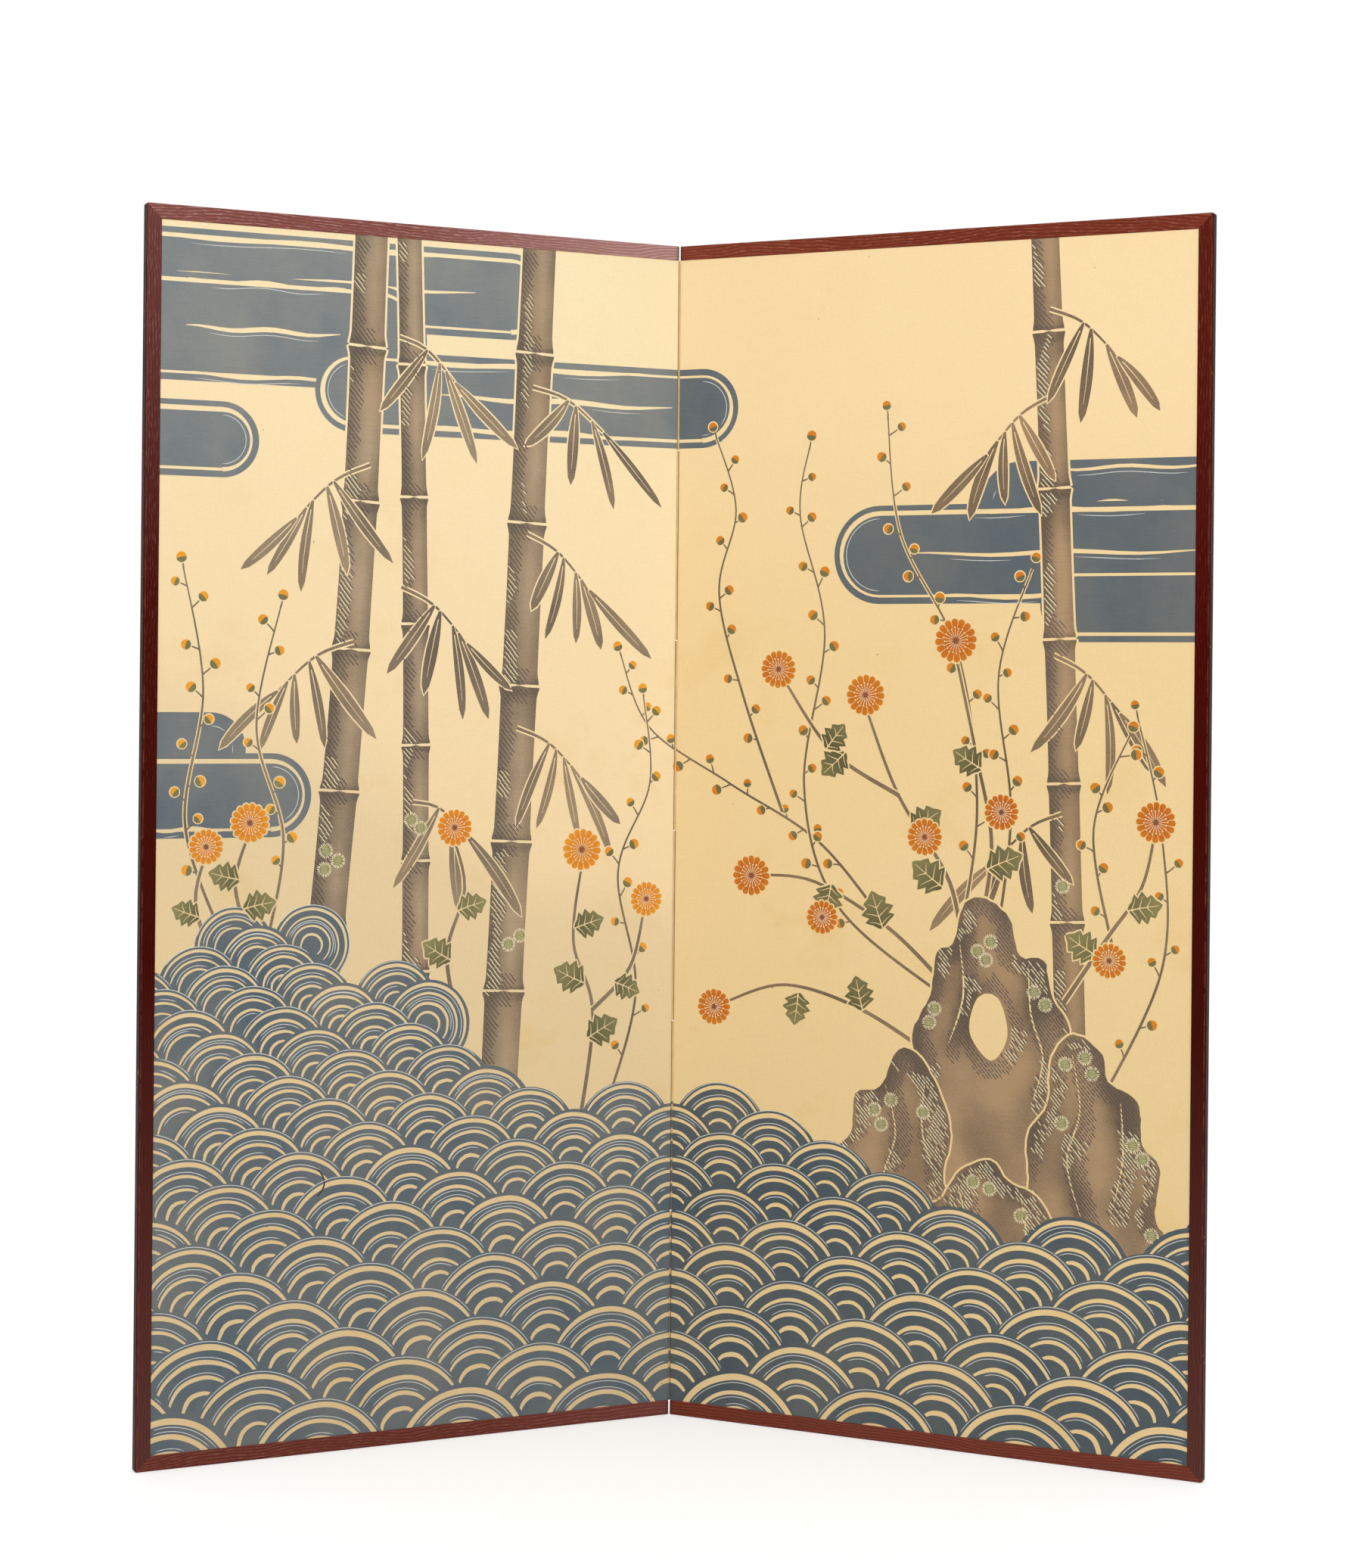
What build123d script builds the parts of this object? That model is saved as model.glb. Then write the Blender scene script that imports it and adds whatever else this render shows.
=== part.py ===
# Two-panel folding screen: lacquered frames, papered lattice cores, silk faces and paper hinges.
# Millimetres, +Z up, the fronts face -Y and the fold stands at the back.
import os
from math import cos, radians, sin

from build123d import *

# Screen as it stands
panel_width = 800
panel_height = 1720
fold_angle = 25.75  # each panel from the flat, in degrees

# Lacquered frame
frame_face = 21
outer_round = 2.5
inner_round = 1.5
corner_round = 3
frame_proud_front = 1.6
frame_proud_back = 0.8

# Wooden core
core_depth = 12.5
hinge_stile_width = 36
outer_stile_width = 26
core_rail_height = 26
slat_width = 16
upright_count = 4
crossbar_count = 9
corner_board_leg = 90
corner_board_thick = 5

# Joints of the woodwork
tenon_thick = 5
stile_tenon_length = 15
stile_tenon_width = 18
slat_tenon_length = 8
tenon_gap = 0.1
lap_gap = 0.05
spline_side = 13
spline_thick = 3
nail_radius = 1.2
nail_half_length = 12
nail_gap = 0.05
nails_per_rail = 4
nails_per_stile = 7

# Papers and silk
base_paper = 0.3
float_paper = 0.5
silk_thick = 0.4
back_paper = 0.3
edge_paper = 0.3
sheet_gap = 0.2

# Paper hinge
half_gap = 1
axis_gap = 0.3
web_thick = 0.4
lip_thick = 0.5
crease_radius = 0.35
flap_reach = 24
band_count = 6
band_space = 1

# Depths of each layer, with the front hinge axis at 0
frame_front = axis_gap
silk_front = frame_front + frame_proud_front
float_front = silk_front + silk_thick
base_front = float_front + float_paper
core_front = base_front + base_paper
core_back = core_front + core_depth
base_back = core_back + base_paper
float_back = base_back + float_paper
paper_back = float_back + back_paper
frame_back = paper_back + frame_proud_back
back_axis = frame_back + axis_gap
core_middle = (core_front + core_back) / 2
slat_front = core_front + lap_gap
slat_back = core_back - lap_gap

# Widths and heights, with the fold at 0 and the floor at 0
outer_edge = half_gap + panel_width
core_outer = outer_edge - frame_face
core_inner = half_gap + edge_paper
core_bottom = frame_face
core_top = panel_height - frame_face
cell_left = core_inner + hinge_stile_width
cell_right = core_outer - outer_stile_width
cell_bottom = core_bottom + core_rail_height
cell_top = core_top - core_rail_height


def block(x_range, y_range, z_range):
    size = [high - low for low, high in (x_range, y_range, z_range)]
    middle = [(high + low) / 2 for low, high in (x_range, y_range, z_range)]
    return Pos(*middle) * Box(*size)


def plate(outline, y_range):
    corners = [(x, y_range[0], z) for x, z in outline]
    face = make_face(Polyline(*corners, close=True))
    return extrude(face, amount=y_range[1] - y_range[0], dir=(0, 1, 0))


def post(outline, z_range):
    corners = [(x, y, z_range[0]) for x, y in outline]
    face = make_face(Polyline(*corners, close=True))
    return extrude(face, amount=z_range[1] - z_range[0], dir=(0, 0, 1))


def spread(low, high, count, width):
    space = (high - low - count * width) / (count + 1)
    return [low + space + step * (space + width) + width / 2 for step in range(count)]


def around(middle, width):
    return (middle - width / 2, middle + width / 2)


def grown(limits, gap):
    return (limits[0] - gap, limits[1] + gap)


def bands(first):
    pitch = (core_top - core_bottom) / band_count
    starts = [core_bottom + step * pitch for step in range(first, band_count, 2)]
    return [(start + band_space / 2, start + pitch - band_space / 2) for start in starts]


uprights_at = spread(cell_left, cell_right, upright_count, slat_width)
crossbars_at = spread(cell_bottom, cell_top, crossbar_count, slat_width)
rail_nails_at = spread(half_gap, core_outer, nails_per_rail, 2 * nail_radius)
stile_nails_at = spread(core_bottom, core_top, nails_per_stile, 2 * nail_radius)


# Frame: two rails and an outer stile, mitred at the outer corners


def frame_ring():
    depth = (frame_front, frame_back)
    ring = block((half_gap, outer_edge), depth, (0, panel_height))
    uprights = ring.edges().filter_by(Axis.Y).group_by(Axis.X)[-1]
    ring = fillet(uprights, corner_round)
    for side in (0, -1):
        face = ring.faces().filter_by(Axis.Y).sort_by(Axis.Y)[side]
        rim = [edge for edge in face.edges() if edge.center().X > half_gap + inner_round]
        ring = fillet(rim, outer_round)
    inside = ((0, core_outer), grown(depth, half_gap), (core_bottom, core_top))
    ring -= block(*inside)
    front = ring.faces().filter_by(Axis.Y).sort_by(Axis.Y)[0]
    arris = [edge for edge in front.edges() if touches_inside(edge)]
    return fillet(arris, inner_round)


def touches_inside(edge):
    middle = edge.center()
    beside_rail = min(abs(middle.Z - core_bottom), abs(middle.Z - core_top)) < axis_gap
    beside_stile = abs(middle.X - core_outer) < axis_gap
    return beside_rail or beside_stile


def spline_places():
    across = core_outer + frame_face / 2
    return [(across, frame_face / 2), (across, panel_height - frame_face / 2)]


def mitre_splines(gap=0):
    splines = []
    for x, z in spline_places():
        side = spline_side + 2 * gap
        thick = spline_thick + 2 * gap
        splines.append(block(around(x, side), around(core_middle, thick), around(z, side)))
    return splines


def frame_nails(gap=0):
    radius = nail_radius + gap
    length = 2 * (nail_half_length + gap)
    nails = []
    for x in rail_nails_at:
        for z in (core_bottom, core_top):
            nails.append(Pos(x, core_middle, z) * Cylinder(radius, length))
    for z in stile_nails_at:
        nails.append(Pos(core_outer, core_middle, z) * Rot(0, 90, 0) * Cylinder(radius, length))
    return nails


def frame_pieces():
    depth = (0, back_axis)
    bottom_outline = [
        (0, 0),
        (outer_edge, 0),
        (core_outer, core_bottom),
        (0, core_bottom),
    ]
    top_outline = [
        (0, panel_height),
        (outer_edge, panel_height),
        (core_outer, core_top),
        (0, core_top),
    ]
    stile_outline = [
        (outer_edge, 0),
        (outer_edge, panel_height),
        (core_outer, core_top),
        (core_outer, core_bottom),
    ]
    ring = frame_ring() - mitre_splines(tenon_gap) - frame_nails(nail_gap)
    return {
        "frame_bottom_rail": ring & plate(bottom_outline, depth),
        "frame_top_rail": ring & plate(top_outline, depth),
        "frame_stile": ring & plate(stile_outline, depth),
        "mitre_splines": mitre_splines(),
        "frame_nails": frame_nails(),
    }


# Core: two stiles, two rails and a half-lapped lattice


def rail_tenons(z, gap=0):
    thick = around(core_middle, tenon_thick + 2 * gap)
    height = around(z, stile_tenon_width + 2 * gap)
    reach = stile_tenon_length + gap
    hinge_side = block((cell_left - reach, cell_left), thick, height)
    outer_side = block((cell_right, cell_right + reach), thick, height)
    return [hinge_side, outer_side]


def crossbar_tenons(z, gap=0):
    thick = around(core_middle, tenon_thick + 2 * gap)
    height = around(z, slat_width - 2 * tenon_gap + 2 * gap)
    reach = slat_tenon_length + gap
    hinge_side = block((cell_left - reach, cell_left), thick, height)
    outer_side = block((cell_right, cell_right + reach), thick, height)
    return [hinge_side, outer_side]


def laps(x_places, z_places, y_range):
    notch = slat_width + 2 * lap_gap
    return [block(around(x, notch), y_range, around(z, notch)) for x in x_places for z in z_places]


def upright_tenons(x, gap=0):
    thick = around(core_middle, tenon_thick + 2 * gap)
    width = around(x, slat_width - 2 * tenon_gap + 2 * gap)
    reach = slat_tenon_length + gap
    low = block(width, thick, (cell_bottom - reach, cell_bottom))
    high = block(width, thick, (cell_top, cell_top + reach))
    return [low, high]


def core_stile(x_range):
    stile = block(x_range, (core_front, core_back), (core_bottom, core_top))
    for z in ((core_bottom + cell_bottom) / 2, (core_top + cell_top) / 2):
        stile -= rail_tenons(z, tenon_gap)
    for z in crossbars_at:
        stile -= crossbar_tenons(z, tenon_gap)
    return stile - frame_nails(nail_gap)


def core_rail(z_range):
    rail = block((cell_left, cell_right), (core_front, core_back), z_range)
    rail += rail_tenons(sum(z_range) / 2)
    for x in uprights_at:
        rail -= upright_tenons(x, tenon_gap)
    return rail - frame_nails(nail_gap)


def uprights():
    slats = []
    notch_depth = (core_front, core_middle + lap_gap)
    for x in uprights_at:
        slat = block(around(x, slat_width), (slat_front, slat_back), (cell_bottom, cell_top))
        slat += upright_tenons(x)
        slats.append(slat - laps([x], crossbars_at, notch_depth))
    return slats


def crossbars():
    slats = []
    notch_depth = (core_middle - lap_gap, core_back)
    for z in crossbars_at:
        slat = block((cell_left, cell_right), (slat_front, slat_back), around(z, slat_width))
        slat += crossbar_tenons(z)
        slats.append(slat - laps(uprights_at, [z], notch_depth))
    return slats


def corner_boards():
    boards = []
    depth = around(core_middle, corner_board_thick)
    for x, along in ((cell_left, corner_board_leg), (cell_right, -corner_board_leg)):
        for z, up in ((cell_bottom, corner_board_leg), (cell_top, -corner_board_leg)):
            boards.append(plate([(x, z), (x + along, z), (x, z + up)], depth))
    return boards


def core_pieces():
    return {
        "core_hinge_stile": core_stile((core_inner, cell_left)),
        "core_outer_stile": core_stile((cell_right, core_outer)),
        "core_bottom_rail": core_rail((core_bottom, cell_bottom)),
        "core_top_rail": core_rail((cell_top, core_top)),
        "core_uprights": uprights(),
        "core_crossbars": crossbars(),
        "core_corner_boards": corner_boards(),
    }


# Papers, silk and hinge strips


def float_sheet(y_range, flap_bands):
    sheet = block((core_inner, core_outer), y_range, (core_bottom, core_top))
    for band in flap_bands:
        sheet -= block((half_gap, half_gap + flap_reach), y_range, band)
    return sheet


def face_sheet(y_range):
    across = (half_gap, core_outer - sheet_gap)
    return block(across, y_range, (core_bottom + sheet_gap, core_top - sheet_gap))


def flap_outline(under, over, axis, toward):
    lip = half_gap - lip_thick
    reach = half_gap + flap_reach
    slope = axis + toward * (lip + axis_gap)
    neck = axis + toward * crease_radius
    root = axis + toward * (half_gap - crease_radius)
    return [
        (reach, over),
        (reach, under),
        (lip, under),
        (lip, slope - toward * web_thick / 2),
        (0, neck - toward * web_thick / 8),
        (crease_radius, axis),
        (half_gap, root),
        (half_gap, over),
    ]


def flaps(under, over, axis, toward, flap_bands):
    outline = flap_outline(under, over, axis, toward)
    strips = []
    for low, high in flap_bands:
        crease = Pos(0, axis, (low + high) / 2) * Cylinder(crease_radius, high - low)
        strips.append(post(outline, (low, high)) + crease)
    return strips


def webs(web_bands):
    clear = crease_radius + lip_thick
    depth = (clear, back_axis - clear)
    return [block(around(0, web_thick), depth, band) for band in web_bands]


def cover_pieces(front_bands, back_bands):
    whole = ((core_inner, core_outer), (core_bottom, core_top))
    edge = ((half_gap, core_inner), (base_front, base_back), (core_bottom, core_top))
    return {
        "front_base_paper": block(whole[0], (base_front, core_front), whole[1]),
        "back_base_paper": block(whole[0], (core_back, base_back), whole[1]),
        "front_float_paper": float_sheet((float_front, base_front), front_bands),
        "back_float_paper": float_sheet((base_back, float_back), back_bands),
        "front_hinge_flaps": flaps(base_front, float_front, 0, 1, front_bands),
        "back_hinge_flaps": flaps(base_back, float_back, back_axis, -1, back_bands),
        "silk_face": face_sheet((silk_front, float_front)),
        "back_paper": face_sheet((float_back, paper_back)),
        "fold_edge_paper": block(*edge),
    }


# Placing and saving


def fold_place():
    slope = radians(fold_angle)
    arris_x = outer_edge - outer_round
    arris_y = frame_front + outer_round
    nearest = arris_y * cos(slope) - arris_x * sin(slope) - outer_round
    furthest = back_axis * cos(slope) + crease_radius
    return Pos(0, -(nearest + furthest) / 2, 0)


def save(name, piece, turn, mirrored):
    solids = piece if isinstance(piece, list) else piece.solids()
    if mirrored:
        solids = [mirror(solid, about=Plane.YZ) for solid in solids]
    placed = [turn * solid for solid in solids]
    shape = placed[0] if len(placed) == 1 else Compound(children=placed)
    export_step(shape, f"parts/{name}.step")


def panel(front_bands, back_bands):
    return frame_pieces() | core_pieces() | cover_pieces(front_bands, back_bands)


os.makedirs("parts", exist_ok=True)
first_bands = bands(0)
second_bands = bands(1)
turn_right = fold_place() * Rot(0, 0, -fold_angle)
turn_left = fold_place() * Rot(0, 0, fold_angle)
for name, piece in panel(second_bands, first_bands).items():
    save(f"right_{name}", piece, turn_right, False)
for name, piece in panel(first_bands, second_bands).items():
    save(f"left_{name}", piece, turn_left, True)
save("hinge_webs_a", webs(first_bands), turn_right, False)
save("hinge_webs_b", webs(second_bands), turn_left, True)
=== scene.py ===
import random
from functools import partialmethod
from math import atan2, cos, dist, exp, hypot, pi, radians, sin

import bpy
from mathutils import Matrix, Vector, noise
from mathutils.geometry import delaunay_2d_cdt


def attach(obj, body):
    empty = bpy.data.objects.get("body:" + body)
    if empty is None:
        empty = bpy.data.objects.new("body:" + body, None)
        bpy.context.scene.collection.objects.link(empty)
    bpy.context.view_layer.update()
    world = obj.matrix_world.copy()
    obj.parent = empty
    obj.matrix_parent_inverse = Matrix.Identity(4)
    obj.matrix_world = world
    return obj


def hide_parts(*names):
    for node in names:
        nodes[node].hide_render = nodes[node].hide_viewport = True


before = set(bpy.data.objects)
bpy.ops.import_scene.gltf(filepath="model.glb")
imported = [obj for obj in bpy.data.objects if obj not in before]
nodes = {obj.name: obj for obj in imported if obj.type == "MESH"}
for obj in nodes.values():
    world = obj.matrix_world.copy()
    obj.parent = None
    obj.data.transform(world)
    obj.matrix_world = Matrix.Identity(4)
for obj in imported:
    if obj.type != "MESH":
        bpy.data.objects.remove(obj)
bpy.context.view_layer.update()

mm = 0.001
hand = random.Random(23)  # every free-hand wobble draws from this
vary = hand.uniform
print("screen loaded,", len(nodes), "pieces")


def ink(colour):
    # from a colour in 0 to 255 as seen to the shader's own
    return tuple(c / 3294.6 if c < 11 else ((c / 255 + 0.055) / 1.055) ** 2.4 for c in colour) + (1,)


# where the panels stand and their silk, in degrees, metres and mm; depths run back from the front hinge line
panels = {
    "foldAngle": 25.75, "foldLine": (0, 0.16525), "height": 1.72,
    "silkInner": 1.0, "silkOuter": 779.8, "silkBottom": 21.2, "silkTop": 1698.8,
    "silkFront": 1.9, "silkBack": 2.3, "dyeFront": 1.74, "dyeBack": 1.96,
}
sides = {"left": -1, "right": 1}


def panelPlace(side):
    turn = Matrix.Rotation(-sides[side] * radians(panels["foldAngle"]), 4, "Z")
    return Matrix.Translation((*panels["foldLine"], 0)) @ turn


def clothEdges(side, inner=0, outer=0, ends=0):
    # left, right, bottom and top of the silk, in from its edges
    low, high = sorted((sides[side] * (panels["silkInner"] + inner), sides[side] * (panels["silkOuter"] - outer)))
    return low, high, panels["silkBottom"] + ends, panels["silkTop"] - ends


def clearSelection():
    for item in bpy.context.selected_objects:
        item.select_set(False)


def makeActive(piece):
    clearSelection()
    piece.select_set(True)
    bpy.context.view_layer.objects.active = piece


def addObject(name, data):
    piece = bpy.data.objects.new(name, data)
    bpy.context.collection.objects.link(piece)
    return piece


# materials


def put(tree, kind, inputs=None, out=0, **settings):
    item = tree.nodes.new("ShaderNode" + kind)
    for key, value in settings.items():
        setattr(item, key, value)
    for key, value in (inputs or {}).items():
        feed(item.inputs[key], value)
    return item.outputs[out]


def feed(socket, value):
    if isinstance(value, bpy.types.NodeSocket):
        socket.id_data.links.new(value, socket)
    else:
        socket.default_value = ink(value) if socket.type == "RGBA" else value


class Finish:
    # a material in the panel's own frame, and the nodes that are added to it
    def __init__(self, name, side=None):
        self.mat = bpy.data.materials.new(name)
        self.mat.use_nodes = True
        self.tree = self.mat.node_tree
        self.shader = self.tree.nodes["Principled BSDF"]
        self.where = put(self.tree, "TexCoord", out="Object")
        if side:
            back = panelPlace(side).inverted()
            self.where = put(self.tree, "Mapping", {0: self.where, 1: back.translation, 2: back.to_euler()})

    def axes(self):
        return put(self.tree, "SeparateXYZ", {0: self.where}).node.outputs

    def calc(self, operation, *values, clamp=False):
        return put(self.tree, "Math", dict(enumerate(values)), operation=operation, use_clamp=clamp)

    plus, minus, times, over, power, below, fold, larger, smaller, size = map(partialmethod, [calc] * 10, (
        "ADD", "SUBTRACT", "MULTIPLY", "DIVIDE", "POWER", "LESS_THAN", "PINGPONG", "MAXIMUM", "MINIMUM", "ABSOLUTE"))

    def between(self, value, low, high, toLow=0.0, toHigh=1.0):
        return put(self.tree, "MapRange", {0: value, 1: low, 2: high, 3: toLow, 4: toHigh})

    def spread(self, value, toLow=0.0, toHigh=1.0):
        return self.between(value, 0.3, 0.7, toLow, toHigh)  # a cloud's middle range

    def blend(self, amount, first, second, mode="MIX"):
        return put(self.tree, "Mix", {0: amount, 6: first, 7: second}, 2, data_type="RGBA", blend_type=mode)

    def lay(self, amount, colour, mode="MIX"):
        self.colour = self.blend(amount, self.colour, colour, mode)

    def dim(self, amount):
        self.lay(1.0, put(self.tree, "CombineXYZ", {0: amount, 1: amount, 2: amount}), "MULTIPLY")

    def cloud(self, scale, detail=2, roughness=0.5, stretch=(1, 1, 1)):
        drawn = put(self.tree, "VectorMath", {0: self.where, 1: stretch}, operation="MULTIPLY")
        return put(self.tree, "TexNoise", {"Vector": drawn, "Scale": scale, "Detail": detail, "Roughness": roughness})

    def ramp(self, amount, stops, mode="LINEAR"):
        shown = put(self.tree, "ValToRGB", {0: amount})
        band = shown.node.color_ramp
        band.interpolation = mode
        while len(band.elements) < len(stops):
            band.elements.new(1.0)
        for element, (place, colour) in zip(band.elements, stops):
            element.position = place
            element.color = ink(colour)
        return shown

    def weave(self):
        return self.plus(*(self.cloud(1, 1, stretch=fine) for fine in ((45, 45, 950), (950, 45, 38))))  # weft and warp

    def done(self, roughness, height, lift, **sockets):
        bump = put(self.tree, "Bump", {"Strength": 1.0, "Distance": lift, "Height": height})
        for key, value in {"Base Color": self.colour, "Roughness": roughness, "Normal": bump, **sockets}.items():
            feed(self.shader.inputs[key.replace("_", " ")], value)
        return self.mat


silkLook = {  # tones from the foot up, the left panel's a lit copy and the right panel's a shaded copy as painted light; tilt is how far the ageing climbs towards the outer edge
    "left": {"tilt": 0.5, "tones": [
        (0.0, (230, 202, 154)), (0.09, (235, 206, 157)), (0.32, (236, 212, 166)), (0.37, (238, 213, 168)),
        (0.43, (250, 224, 177)), (0.5, (252, 227, 180)), (0.66, (255, 231, 185)), (0.92, (255, 236, 191))]},
    "right": {"tilt": 0.0, "tones": [
        (0.0, (242, 212, 158)), (0.2, (240, 210, 153)), (0.44, (244, 214, 157)), (0.68, (246, 216, 159)),
        (0.86, (252, 223, 171))]},
    "speck": (140, 98, 52), "stain": (228, 186, 108), "lift": 0.00012,
}


def silkMaterial(side):
    m = Finish(side + "_cream_silk", side)
    look = silkLook[side]
    x, y, z = m.axes()
    drift = m.cloud(2.6, 3, stretch=(1, 1, 0.8))
    climb = m.times(m.size(x), look["tilt"])
    up = m.minus(m.plus(z, m.spread(drift, -0.08, 0.08)), climb)
    # the panel's tones up its height, lighter on the left panel as painted light
    m.colour = m.ramp(m.over(up, panels["height"]), look["tones"])
    blotch = m.between(m.cloud(5.5, 4, 0.62, (1, 1, 1.4)), 0.55, 0.74, 0, 0.5)
    blotch = m.times(blotch, m.between(z, 1.5, 0.5, 0.12, 1))
    blotch = m.plus(blotch, m.spread(drift, 0, 0.1))
    m.lay(blotch, silkLook["stain"])
    slub = m.cloud(1, 2, 0.6, (26, 26, 620))
    rib = m.cloud(1, 2, 0.6, (560, 26, 22))
    thread = m.plus(m.spread(slub, 0.985, 1.01), m.spread(rib, -0.01, 0.01))
    fleck = m.cloud(420, 3, 0.7)
    m.dim(m.plus(thread, m.spread(fleck, -0.035, 0.035)))
    spots = put(m.tree, "TexVoronoi", {"Vector": m.where, "Scale": 26.0, "Randomness": 1.0})
    speck = m.times(m.between(spots, 0.05, 0.035), m.between(m.cloud(9), 0.56, 0.62), clamp=True)
    m.lay(m.times(speck, 0.55), silkLook["speck"])
    return m.done(0.62, m.weave(), silkLook["lift"],
                  Sheen_Weight=0.12, Sheen_Roughness=0.4, Specular_IOR_Level=0.3)


dyeLook = {  # dark and light tone on each panel, the left panel's a lit copy and the right panel's a shaded copy as painted light; "head" is the tone it fades to up the panel, "patch" a second hue
    "blue": {"left": ((84, 99, 109), (117, 120, 118)), "right": ((70, 83, 92), (97, 102, 101)),
             "head": {"left": ((115, 124, 129), (144, 145, 139)), "right": ((95, 105, 112), (121, 122, 117))},
             "mottle": 0.5},
    "wash": {"left": ((110, 97, 81), (180, 157, 127)), "right": ((107, 90, 71), (178, 147, 111)),
             "patch": (178, 140, 100), "mottle": 0.35},
    "olive": {"left": ((98, 95, 60), (150, 142, 95)), "right": ((93, 88, 54), (142, 132, 84)), "mottle": 0.3},
    "orange": {"left": ((216, 118, 20), (246, 172, 48)), "right": ((190, 92, 10), (226, 142, 32)), "mottle": 0.25},
    "rust": {"left": ((156, 76, 20), (202, 110, 34)), "right": ((148, 68, 14), (190, 98, 28)), "mottle": 0.2},
    "moss": {"left": ((132, 128, 86), (160, 156, 108)), "right": ((126, 121, 80), (154, 148, 102)), "mottle": 0.2},
}


def dyeMaterial(kind, side):
    m = Finish(side + "_" + kind + "_dye", side)
    look = dyeLook[kind]
    tone = put(m.tree, "Attribute", out="Fac", attribute_name="tone")
    pool = m.cloud(7, 4, 0.6, (1, 1, 0.7))
    grain = m.cloud(520, 3, 0.65)
    weight = m.plus(tone, m.spread(pool, -look["mottle"], look["mottle"]))
    weight = m.plus(weight, m.spread(grain, -0.24, 0.24), clamp=True)
    # the panel's own copy of the tones, lighter on the left panel as painted light
    m.colour = m.blend(weight, *look[side])
    if "head" in look:
        m.lay(m.between(m.axes()[2], 0.7, 1.65), m.blend(weight, *look["head"][side]))
    if "patch" in look:
        patch = m.between(m.cloud(8, 3, stretch=(1, 1, 0.5)), 0.5, 0.66, 0, 0.4)
        m.lay(m.times(patch, weight), look["patch"])
    slub = m.cloud(1, 2, 0.6, (26, 26, 620))
    m.dim(m.spread(slub, 0.95, 1.04))
    return m.done(0.68, m.weave(), silkLook["lift"],
                  Sheen_Weight=0.08, Sheen_Roughness=0.4, Specular_IOR_Level=0.25)


threadLook = {
    "white": ((236, 236, 228), (205, 206, 200)),
    "cream": ((252, 240, 204), (232, 214, 168)),
    "dark": ((88, 74, 72), (58, 48, 48)),
    "pale": ((248, 236, 194), (216, 202, 152)),
    "green": ((212, 205, 150), (176, 168, 114)),
    "loose": ((50, 42, 38), (34, 30, 28)),
}


def threadMaterial(kind):
    m = Finish(kind + "_silk_thread")
    twist = m.cloud(420)
    weight = m.plus(m.spread(twist, 0, 0.75), m.spread(m.cloud(14), 0, 0.35), clamp=True)
    m.colour = m.blend(weight, *threadLook[kind])
    return m.done(0.45, twist, 0.0002, Sheen_Weight=0.2, Specular_IOR_Level=0.45)


# per panel: the stile's tones up its height, paler at the foot and the top as painted sheen; the rails' foot and head
# tones, paler partly from fading and dust and partly as painted sheen; the fold-end tone, a painted reflection on the
# rails by the fold; and the grain dashes. The left panel's tones are a lit copy and the right panel's a shaded copy, as
# painted light; the tip tone is painted shade at the rails' ends by the fold
woodLook = {
    "left": {"stile": [(0.02, (96, 55, 49)), (0.4, (68, 11, 4)), (0.7, (75, 16, 8)), (1.0, (114, 64, 60))],
             "foot": (122, 62, 51), "head": (145, 86, 78), "foldEndReflection": (192, 146, 139), "grainDashAndSheen": (210, 172, 166)},
    "right": {"stile": [(0.02, (96, 56, 49)), (0.35, (66, 14, 7)), (0.66, (73, 9, 3)), (1.0, (95, 30, 18))],
              "foot": (131, 67, 53), "head": (128, 55, 38), "foldEndReflection": (140, 66, 47), "grainDashAndSheen": (178, 112, 92)},
    "behind": (100, 42, 32), "edge": (44, 27, 20), "arris": (138, 66, 46), "tip": (74, 54, 42),
    "bare": (196, 152, 108), "gloss": 0.02,
}


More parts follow.
